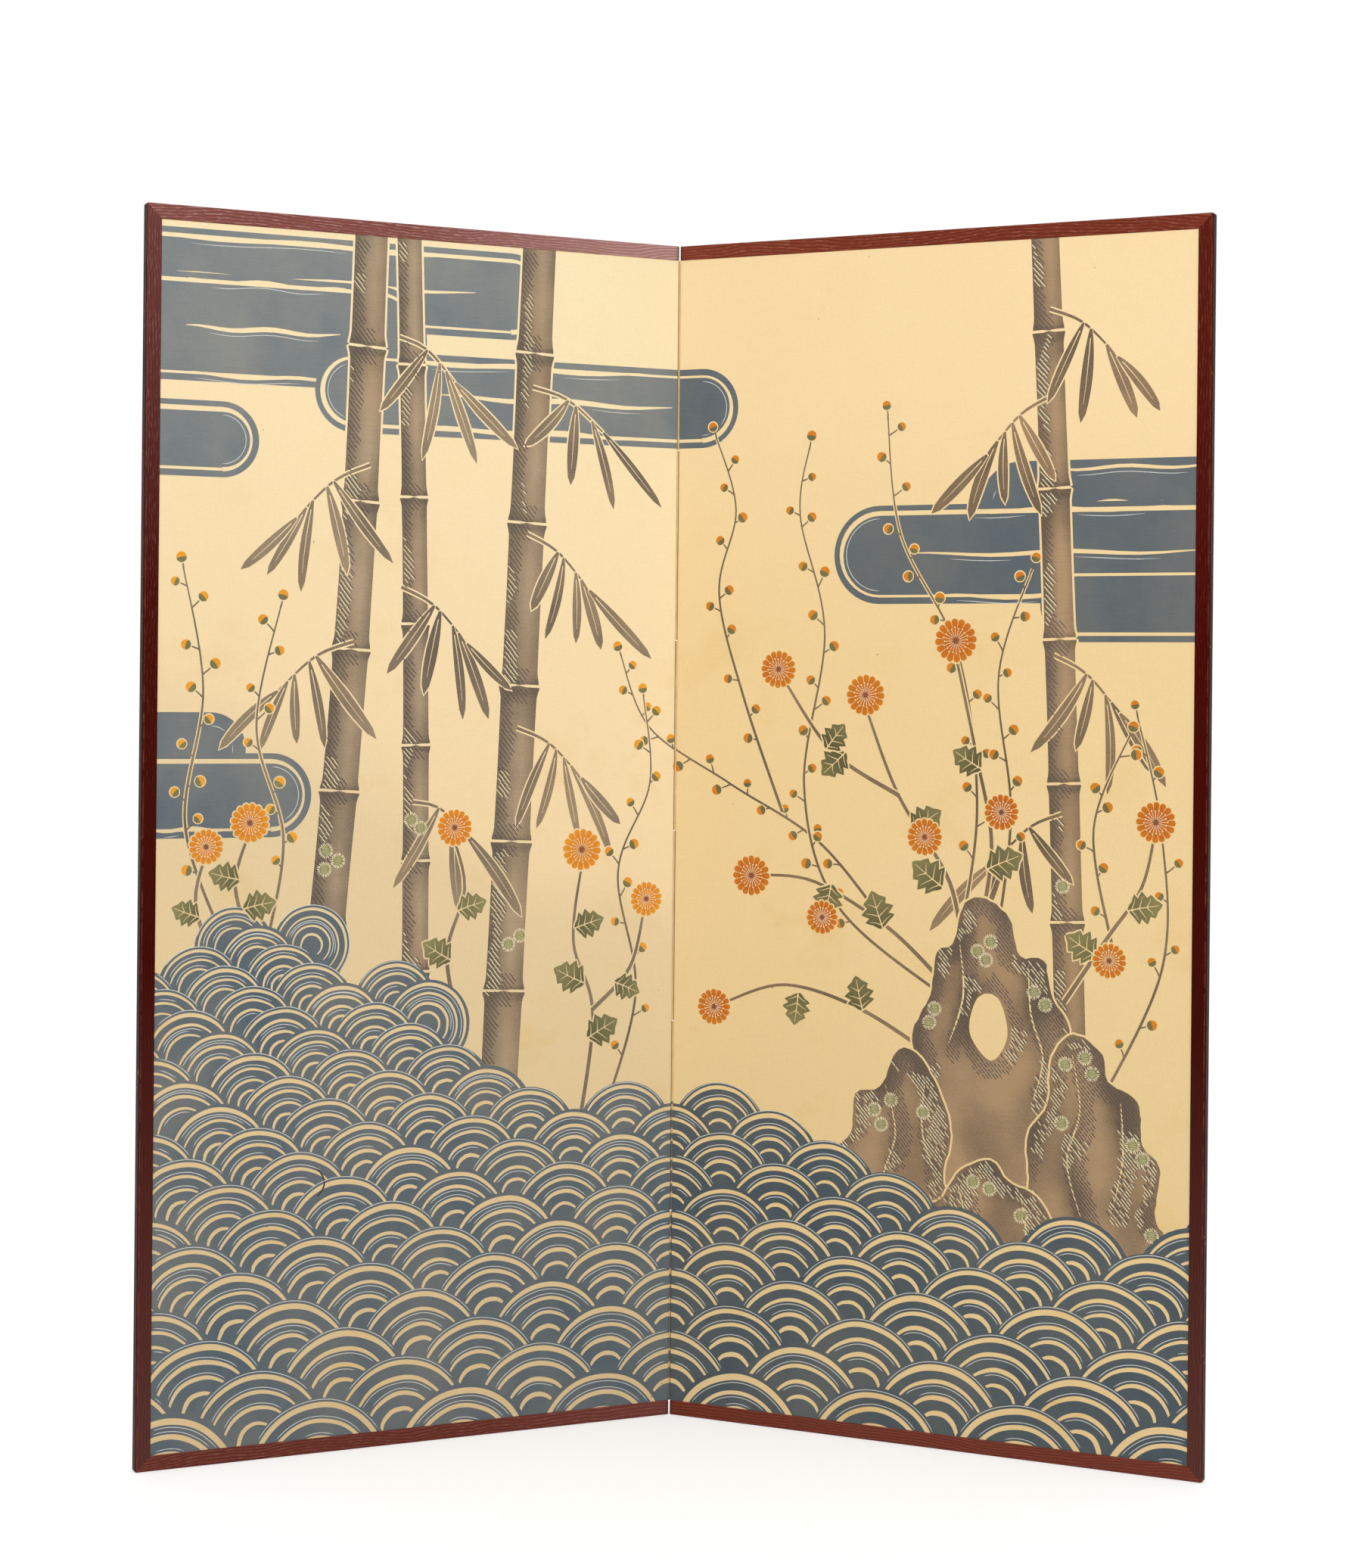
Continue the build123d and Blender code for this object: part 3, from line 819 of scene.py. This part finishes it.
# chrysanthemums, berries and their stems
flowers = {
    "sprays": [  # stem points
        [(452, 690), (430, 800), (352, 920), (300, 1046)],
        [(470, 706), (492, 850), (468, 980), (436, 1120)],
        [(430, 650), (340, 730), (226, 792), (142, 800)],
        [(352, 920), (250, 980), (176, 1078)],
        [(430, 540), (300, 612), (180, 642), (84, 612)],
        [(600, 640), (660, 730), (708, 800), (726, 872)],
        [(-158, 380), (-128, 590), (-160, 700), (-148, 812)],
        [(-340, 600), (-356, 690), (-330, 780), (-346, 850)],
        [(-640, 700), (-668, 790), (-650, 862)],
        [(-700, 690), (-724, 770), (-712, 830)],
        [(-130, 600), (-70, 660), (-48, 742)],
    ],
    "stem": (6.4, 3.6),
    "heads": [  # middle and radius
        (300, 1062, 29), (436, 1140, 31), (124, 798, 29), (164, 1098, 27), (66, 604, 26), (728, 892, 28),
        (-148, 834, 30), (-346, 868, 26), (-648, 878, 27), (-710, 846, 24), (-44, 760, 25), (392, 862, 26),
        (506, 900, 25), (236, 742, 24), (664, 700, 24)],
    "berries": [  # stem points, berry count
        ([(440, 690), (470, 900), (440, 1120), (352, 1290), (330, 1460)], 17),
        ([(500, 716), (520, 900), (500, 1090), (548, 1240)], 12),
        ([(338, 732), (230, 850), (90, 930), (-40, 1010), (-90, 1120)], 15),
        ([(420, 640), (260, 760), (206, 930), (236, 1150), (196, 1320), (210, 1420)], 17),
        ([(640, 480), (738, 690), (736, 880), (700, 1040)], 10),
        ([(-120, 420), (-60, 620), (-90, 800), (-40, 930), (-52, 1060)], 13),
        ([(-690, 730), (-740, 880), (-716, 1060), (-746, 1230)], 12),
        ([(-620, 720), (-600, 860), (-640, 1010), (-606, 1180)], 10),
        ([(172, 892), (108, 1060), (68, 1210), (94, 1330), (60, 1440)], 11),
        ([(668, 720), (640, 880), (690, 1010)], 7),
    ],
    "leaves": [  # foot, direction and length
        (420, 792, 2.5, 58), (372, 870, 0.6, 54), (486, 820, 0.4, 56), (476, 960, 2.6, 50), (330, 730, 1.9, 56),
        (250, 790, -1.8, 52), (270, 980, -2.4, 50), (240, 984, 0.9, 46), (300, 612, 1.8, 50), (200, 632, -1.7, 48),
        (646, 706, 2.6, 52), (690, 770, 0.2, 50), (-136, 560, 0.5, 54), (-142, 640, 2.7, 54), (-158, 720, 0.3, 48),
        (-350, 680, 2.6, 50), (-340, 750, 0.3, 46), (-656, 760, 0.2, 48), (-662, 800, 2.9, 46),
        (-718, 750, 2.8, 42), (-94, 640, -0.4, 44)],
    "leafEdge": [
        (0, 0.05), (0.14, 0.22), (0.26, 0.42), (0.34, 0.28), (0.48, 0.46), (0.6, 0.26), (0.72, 0.33), (0.84, 0.16),
        (1, 0)],
    "petals": 16,
}


def drawBerry(x, z, angle, size):
    paint(None, disc(x, z, size + 2.0, 16))
    paint("orange", disc(x, z, size, 16), 0.75)
    cup = [away(x, z, size + 0.4, angle + pi * (0.56 + 0.88 * k / 8)) for k in range(9)]
    ends = [away(x, z, way * 0.5 * size, angle + pi / 2) for way in (1, -1)]
    paint("olive", ends[:1] + cup + ends[1:], 0.45)


def drawBerrySpray(points, count):
    line = smoothLine(points, 10)
    stroke(None, line, 8.2, 4.8)
    stroke("wash", line, 4.4, 1.8, 0.2)
    side = 1
    for k in range(count):
        t = 0.2 + 0.8 * (k + jitter(0.25)) / (count - 1)
        i = min(len(line) - 2, max(1, int(t * (len(line) - 1))))
        p, q = line[i], line[i + 1]
        angle = atan2(q[1] - p[1], q[0] - p[0])
        if k < count - 1:
            angle += side * vary(0.7, 1.1)
        tip = away(*p, vary(9, 20), angle)
        stroke("wash", [p, halfway(p, tip, 0.6), tip], 2.4, 1.6, 0.2)
        drawBerry(*away(*tip, 5, angle), angle, vary(5.8, 7.4))
        side = -side


def drawLeaf(x, z, angle, length):
    ahead = (cos(angle), sin(angle))

    def at(t, u):
        return x + (ahead[0] * t - ahead[1] * u) * length, z + (ahead[1] * t + ahead[0] * u) * length

    edge = flowers["leafEdge"]
    loop = smoothLoop([at(t, u) for t, u in edge] + [at(t, -u) for t, u in edge[-2:0:-1]], 7)
    paint(None, grown(loop, 2.4))
    deep = vary(0.25, 0.6) - 0.4
    paint("olive", loop, lambda p: deep + 0.9 * ((p[0] - x) * ahead[0] + (p[1] - z) * ahead[1]) / length)
    stroke(None, [at(0.02, 0), at(0.4, 0.012), at(0.9, 0)], 2.2, 0.8)
    for t, u in ((0.26, 0.3), (0.48, 0.33), (0.70, 0.22)):
        for way in (1, -1):
            stroke(None, [at(t - 0.16, 0), at(t - 0.06, u * way * 0.55), at(t, u * way)], 1.5, 0.5)


def drawHead(x, z, radius):
    petals = flowers["petals"]
    turn = vary(0, 1)

    def scallop(size, depth, parts=6):
        turns = [2 * pi * k / (petals * parts) for k in range(petals * parts)]
        return [away(x, z, size * (1 - depth * (1 - abs(cos(a * petals / 2)) ** 0.55)), a + turn) for a in turns]

    def middle(p):
        return dist(p, (x, z)) / radius

    paint(None, scallop(radius + 2.2, 0.10))
    paint("orange", scallop(radius, 0.15), lambda p: 0.9 * middle(p) - 0.35)
    for k in range(petals):
        a = turn + 2 * pi * (k + 0.5) / petals
        stroke(None, [away(x, z, r, a) for r in (radius * 0.56, radius * 0.72, radius * 0.88)], 0.5, 1.1)
    paint("orange", scallop(radius * 0.60, 0.10, 5), lambda p: 0.8 * middle(p) - 0.1)
    paint("rust", disc(x, z, radius * 0.22, 18), 0.4)
    for k in range(20):
        a = 2 * pi * k / 20 + turn
        stitch("cream", *away(x, z, radius * (0.32, 0.36)[k % 2], a), a, radius * 0.42, 0.8)
        stitch("cream", *away(x, z, radius * (0.54, 0.60)[k % 2], a), a, 2.4, 2.0)
    for k in range(6):
        a = 2 * pi * k / 6
        stitch("dark", *away(x, z, radius * 0.08, a), a, 3.2, 1.0)


wear = {
    "scuffs": [  # x, z, direction, length, width
        (6, 55, -0.8, 5.5, 1.8), (-27, 30, 1.1, 5.0, 1.5), (-11, 46, -0.7, 2.6, 1.3), (9, 41, 0.4, 2.4, 1.6),
        (690, 312, 0.2, 3.0, 1.2), (-560, 1268, 1.2, 3.0, 1.2), (318, 1120, 0.5, 2.4, 1.1),
        (-318, 742, -0.4, 2.8, 1.2)],
    "looseThread": [(-548, 398), (-541, 390), (-536, 380), (-536, 371), (-541, 362), (-546, 358)],
}


def drawWear():
    for x, z, direction, length, width in wear["scuffs"]:
        line = [away(x, z, -length / 2, direction), (x + width * 0.2, z), away(x, z, length / 2, direction)]
        stroke("wash", line, width, width * 0.4, -0.3)
    line = smoothLine(wear["looseThread"], 4)
    for (ax, az), (bx, bz) in zip(line, line[1:]):
        dx, dz = bx - ax, bz - az
        stitch("loose", (ax + bx) / 2, (az + bz) / 2, atan2(dz, dx), hypot(dx, dz) + 1.8, 2.3)


drawMist()
for culm in bamboo["culms"]:
    drawCulm(*culm)
drawLeafSprays()
for x, z in bamboo["mossAt"]:
    drawMoss(x, z)
for points, count in flowers["berries"]:
    drawBerrySpray(points, count)
for points in flowers["sprays"]:
    drawStem(points, *flowers["stem"])
drawRock()
drawSea()
for leaf in flowers["leaves"]:
    drawLeaf(*leaf)
for head in flowers["heads"]:
    drawHead(*head)
drawWear()
cellSize = 40
coverCells = {}  # the outlines over each square of the picture
for order, (dye, outline, tone) in enumerate(picture):
    x0, x1, z0, z1 = span = extent(outline)
    for i in range(int(x0 // cellSize), int(x1 // cellSize) + 1):
        for k in range(int(z0 // cellSize), int(z1 // cellSize) + 1):
            coverCells.setdefault((i, k), []).append((order, span, outline))


def coversAt(x, z, under=0):
    for order, (x0, x1, z0, z1), outline in coverCells.get((int(x // cellSize), int(z // cellSize)), ()):
        if order >= under and x0 < x < x1 and z0 < z < z1 and insideLoop(outline, x, z):
            yield order


def paintedOver(x, z, under):
    return next(coversAt(x, z, under), None) is not None


hingeLook = {"paper": (226, 196, 140), "shade": (206, 172, 116), "behind": (190, 176, 146),
             "blue": (82, 92, 96), "strength": 0.92, "dyedTo": 0.1672, "dyedUpTo": 860}
# the dye that crosses the fold colours the crease too, in steps up its height
m = Finish("hinge_paper_dyed")
x, y, z = m.axes()
grain = m.cloud(*plainLook["hinge_paper"][3])
front = m.between(y, hingeLook["dyedTo"] + 0.0002, hingeLook["dyedTo"])
m.colour = m.blend(front, hingeLook["behind"], m.blend(m.spread(grain), hingeLook["paper"], hingeLook["shade"]))
steps = []  # heights where the blue starts or ends
for height in range(hingeLook["dyedUpTo"]):
    top = max(coversAt(0.3, height + 0.5), default=None)
    blue = 255 if top is not None and picture[top][0] == "blue" else 0
    if not steps or blue != steps[-1][1]:
        steps.append((height, blue))
steps.append((hingeLook["dyedUpTo"] + 1, 0))
dyed = 0.0
for start in range(0, len(steps) - 1, 30):  # a ramp holds 32 stops
    some = [(0, 0)] * (start > 0) + steps[start:start + 30] + [(steps[start:start + 31][-1][0], 0)]
    dyed = m.larger(dyed, m.ramp(z, [(height / 1000, (blue,) * 3) for height, blue in some], "CONSTANT"))
m.lay(m.times(m.times(dyed, front), hingeLook["strength"]), hingeLook["blue"])
dyedHinge = m.done(0.85, grain, 0.0002)
for name in ("hinge_webs_a", "hinge_webs_b", "left_front_hinge_flaps", "right_front_hinge_flaps"):
    for slot in nodes[name].material_slots:
        slot.material = dyedHinge
print("picture drawn,", len(picture), "outlines")


# silk, dyes and threads


def finishPiece(piece, side, mat):
    piece.data.transform(panelPlace(side))
    piece.data.materials.clear()
    piece.data.materials.append(mat)
    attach(piece, side + "_panel")


def editAll(operator, **settings):
    bpy.ops.object.mode_set(mode="EDIT")
    bpy.ops.mesh.select_all(action="SELECT")
    operator(**settings)
    bpy.ops.object.mode_set(mode="OBJECT")


def thicken(piece, front, back):
    thick = piece.modifiers.new("thickness", "SOLIDIFY")
    thick.thickness = (panels[back] - panels[front]) * mm
    thick.offset = -1
    bpy.ops.object.modifier_apply(modifier=thick.name)


def netPiece(name, verts, faces, tones=None):
    mesh = bpy.data.meshes.new(name)
    mesh.from_pydata(verts, [], faces)
    if tones:
        mesh.attributes.new("tone", "FLOAT", "CORNER").data.foreach_set("value", tones)
    piece = addObject(name, mesh)
    makeActive(piece)
    editAll(bpy.ops.mesh.normals_make_consistent, inside=False)
    print(name, len(faces), "faces")
    return piece


def makeSilk(side):
    low, high, bottom, top = clothEdges(side)
    clearSelection()
    bpy.ops.mesh.primitive_grid_add(x_subdivisions=26, y_subdivisions=56, size=1)
    cloth = bpy.context.object
    cloth.name = cloth.data.name = side + "_silk"
    editAll(bpy.ops.transform.resize, value=((high - low) * mm, (top - bottom) * mm, 1))
    middle = Vector(((high + low) / 2, panels["silkFront"], (top + bottom) / 2)) * mm
    cloth.data.transform(Matrix.Translation(middle) @ Matrix.Rotation(pi / 2, 4, "X"))
    cloth.matrix_world = Matrix.Identity(4)
    makeActive(cloth)
    thicken(cloth, "silkFront", "silkBack")
    finishPiece(cloth, side, silkMaterial(side))
    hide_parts(side + "_silk_face")


def dyeRegions(side):
    # every outline goes into one flat net; each small face takes the dye of the topmost outline over it
    low, high, bottom, top = clothEdges(side)
    layers = [(None, [(low, bottom), (high, bottom), (high, top), (low, top)], 0.5)]
    for layer in picture:
        x0, x1, z0, z1 = extent(layer[1])
        if x1 >= low and x0 <= high and z1 >= bottom and z0 <= top:
            layers.append(layer)
    points, faces = [], []
    for _, outline, _ in layers:
        faces.append(list(range(len(points), len(points) + len(outline))))
        points.extend(Vector(p) for p in outline)
    verts, _, tris, _, _, owners = delaunay_2d_cdt(points, [], faces, 1, 0.02)
    regions = {}
    for tri, owner in zip(tris, owners):
        dye, _, tone = layers[max(owner)] if 0 in owner else layers[0]
        if dye:
            regions.setdefault(dye, []).append((tri, tone))
    return verts, regions


def makeDyes(side):
    verts, regions = dyeRegions(side)
    for dye, tris in regions.items():
        used, known, places, tones, faces = {}, {}, [], [], []
        for tri, tone in tris:
            for v in tri:
                if v not in used:
                    used[v] = len(places)
                    places.append((verts[v][0] * mm, panels["dyeFront"] * mm, verts[v][1] * mm))
                if (tone, v) not in known:
                    known[tone, v] = tone(verts[v]) if callable(tone) else tone
                tones.append(known[tone, v])
            faces.append([used[v] for v in tri])
        piece = netPiece(side + "_" + dye + "_dye", places, faces, tones)
        if sum(p.normal.y * p.area for p in piece.data.polygons) > 0:
            piece.data.flip_normals()
        thicken(piece, "dyeFront", "dyeBack")
        finishPiece(piece, side, dyeMaterial(dye, side))


threadRound = [(-1, 1.86), (-0.62, 1.45), (0.62, 1.45), (1, 1.86)]  # a couched thread's section, across and deep


def makeRuns(side):
    # couched threads: half-round strips that follow their lines
    verts, faces = [], []
    low, high, bottom, top = clothEdges(side, 2, 1, 1)
    for line, under in runs:
        pieces = [[]]
        for p in line:
            if low < p[0] < high and bottom < p[1] < top and not paintedOver(*p, under):
                pieces[-1].append(p)
            else:
                pieces.append([])
        for part in pieces:
            if len(part) < 3:
                continue
            start, end = len(verts), len(verts) + (len(part) - 1) * 4
            for i, (p, n) in enumerate(zip(part, sideways(part))):
                w = couchWidth / 2 * (0.25 if i in (0, len(part) - 1) else 1)
                verts.extend(((p[0] + n[0] * w * u) * mm, d * mm, (p[1] + n[1] * w * u) * mm) for u, d in threadRound)
            for a in range(start, end, 4):
                faces.extend((a + k, a + 4 + k, a + 4 + (k + 1) % 4, a + (k + 1) % 4) for k in range(4))
            faces.extend([range(start, start + 4), range(end + 3, end - 1, -1)])
    finishThreads(verts, faces, side, "white", "couching")


stitchMiddle, stitchHeight = 1.72, 0.46  # deep


def makeStitches(side, kind):
    # a stitch is modelled once, pointed at both ends, and laid again at each place
    low, high, bottom, top = clothEdges(side, 3, 3, 4)
    clearSelection()
    bpy.ops.mesh.primitive_cylinder_add(vertices=4, radius=0.5, depth=0.62, end_fill_type="TRIFAN",
                                        rotation=(0, pi / 2, 0))
    first = bpy.context.object
    bpy.ops.object.transform_apply(location=True, rotation=True, scale=True)
    for v in first.data.vertices:
        if hypot(v.co.y, v.co.z) < 0.01:
            v.co.x = 0.5 if v.co.x > 0 else -0.5
    shape = [v.co.copy() for v in first.data.vertices]
    shapeFaces = [tuple(p.vertices) for p in first.data.polygons]
    bpy.data.objects.remove(first)
    verts, faces = [], []
    for x, z, angle, length, width, under in stitches[kind]:
        if not (low < x < high and bottom < z < top) or paintedOver(x, z, under):
            continue
        c, s = cos(angle), sin(angle)
        start = len(verts)
        for p in shape:
            u, w = p.x * length, p.z * width
            verts.append(((x + u * c - w * s) * mm, (stitchMiddle + p.y * stitchHeight) * mm, (z + u * s + w * c) * mm))
        faces.extend(tuple(start + i for i in face) for face in shapeFaces)
    finishThreads(verts, faces, side, kind, "stitches")


def finishThreads(verts, faces, side, kind, work):
    if verts:
        finishPiece(netPiece(side + "_" + kind + "_" + work, verts, faces), side, threads[kind])


for side in sides:
    makeSilk(side)
    makeDyes(side)
    makeRuns(side)
    for kind in stitches:
        makeStitches(side, kind)
print("silk, dyes and embroidery laid")


# floor, light and camera

studio = {
    "ambient": 0.62, "floorGlow": (0.40, 0.57), "glowFrom": (3.0, 6.0),  # near the screen and far from it
    "lamps": [((-1.4, -3.6, 3.6), (0, 0, 0.9), 3.2, 70), ((2.6, -3.0, 2.2), (0, 0, 0.8), 2.6, 26),
              ((0.2, 2.6, 2.6), (0, 0, 0.9), 2.4, 40)],  # place, target, size, power
}


def seenStraight(tree):
    # rays from the camera, mirrors and glass see the pale ground itself
    path = put(tree, "LightPath").node.outputs
    either = put(tree, "Math", {0: path["Is Camera Ray"], 1: path["Is Glossy Ray"]}, operation="MAXIMUM")
    return put(tree, "Math", {0: either, 1: path["Is Transmission Ray"]}, operation="MAXIMUM")


clearSelection()
bpy.ops.mesh.primitive_plane_add(size=24, location=(0, 0, 0))
floor = bpy.context.object
floor.name = "floor"
m = Finish("pale_floor")
m.tree.nodes.remove(m.shader)
pale = put(m.tree, "BsdfDiffuse", {"Color": (231, 231, 231)})
far = put(m.tree, "VectorMath", {0: m.where}, "Value", operation="LENGTH")
strength = m.times(m.between(far, *studio["glowFrom"], *studio["floorGlow"]), seenStraight(m.tree))
glow = put(m.tree, "Emission", {"Color": (255, 255, 255), "Strength": strength})
feed(m.tree.nodes["Material Output"].inputs["Surface"], put(m.tree, "AddShader", {0: pale, 1: glow}))
floor.data.materials.append(m.mat)

world = bpy.data.worlds.new("studio")
bpy.context.scene.world = world
world.use_nodes = True
tree = world.node_tree
tree.nodes.clear()
soft, white = (put(tree, "Background", {"Color": (255, 255, 255), "Strength": much})
               for much in (studio["ambient"], 1.0))
mix = put(tree, "MixShader", {0: seenStraight(tree), 1: soft, 2: white})
feed(tree.nodes.new("ShaderNodeOutputWorld").inputs["Surface"], mix)

for i, (place, target, size, power) in enumerate(studio["lamps"]):
    lamp = bpy.data.lights.new("softbox" + str(i), "AREA")
    lamp.size = size
    lamp.energy = power
    item = addObject(lamp.name, lamp)
    item.location = place
    item.rotation_euler = (Vector(target) - Vector(place)).to_track_quat("-Z", "Y").to_euler()

view = {"place": (-0.0020, -4.1140, 1.0654), "lens": 66.73, "shift": (-0.0009, -0.0594), "roll": 0.546}
lens = bpy.data.cameras.new("camera")
lens.lens, lens.sensor_width = view["lens"], 36
lens.shift_x, lens.shift_y = view["shift"]
lens.clip_start, lens.clip_end = 0.1, 60
camera = addObject("camera", lens)
camera.location = view["place"]
camera.rotation_euler = (pi / 2, -radians(view["roll"]), 0)
bpy.context.scene.camera = camera
bpy.context.scene.view_settings.view_transform = "Standard"
print("studio set")
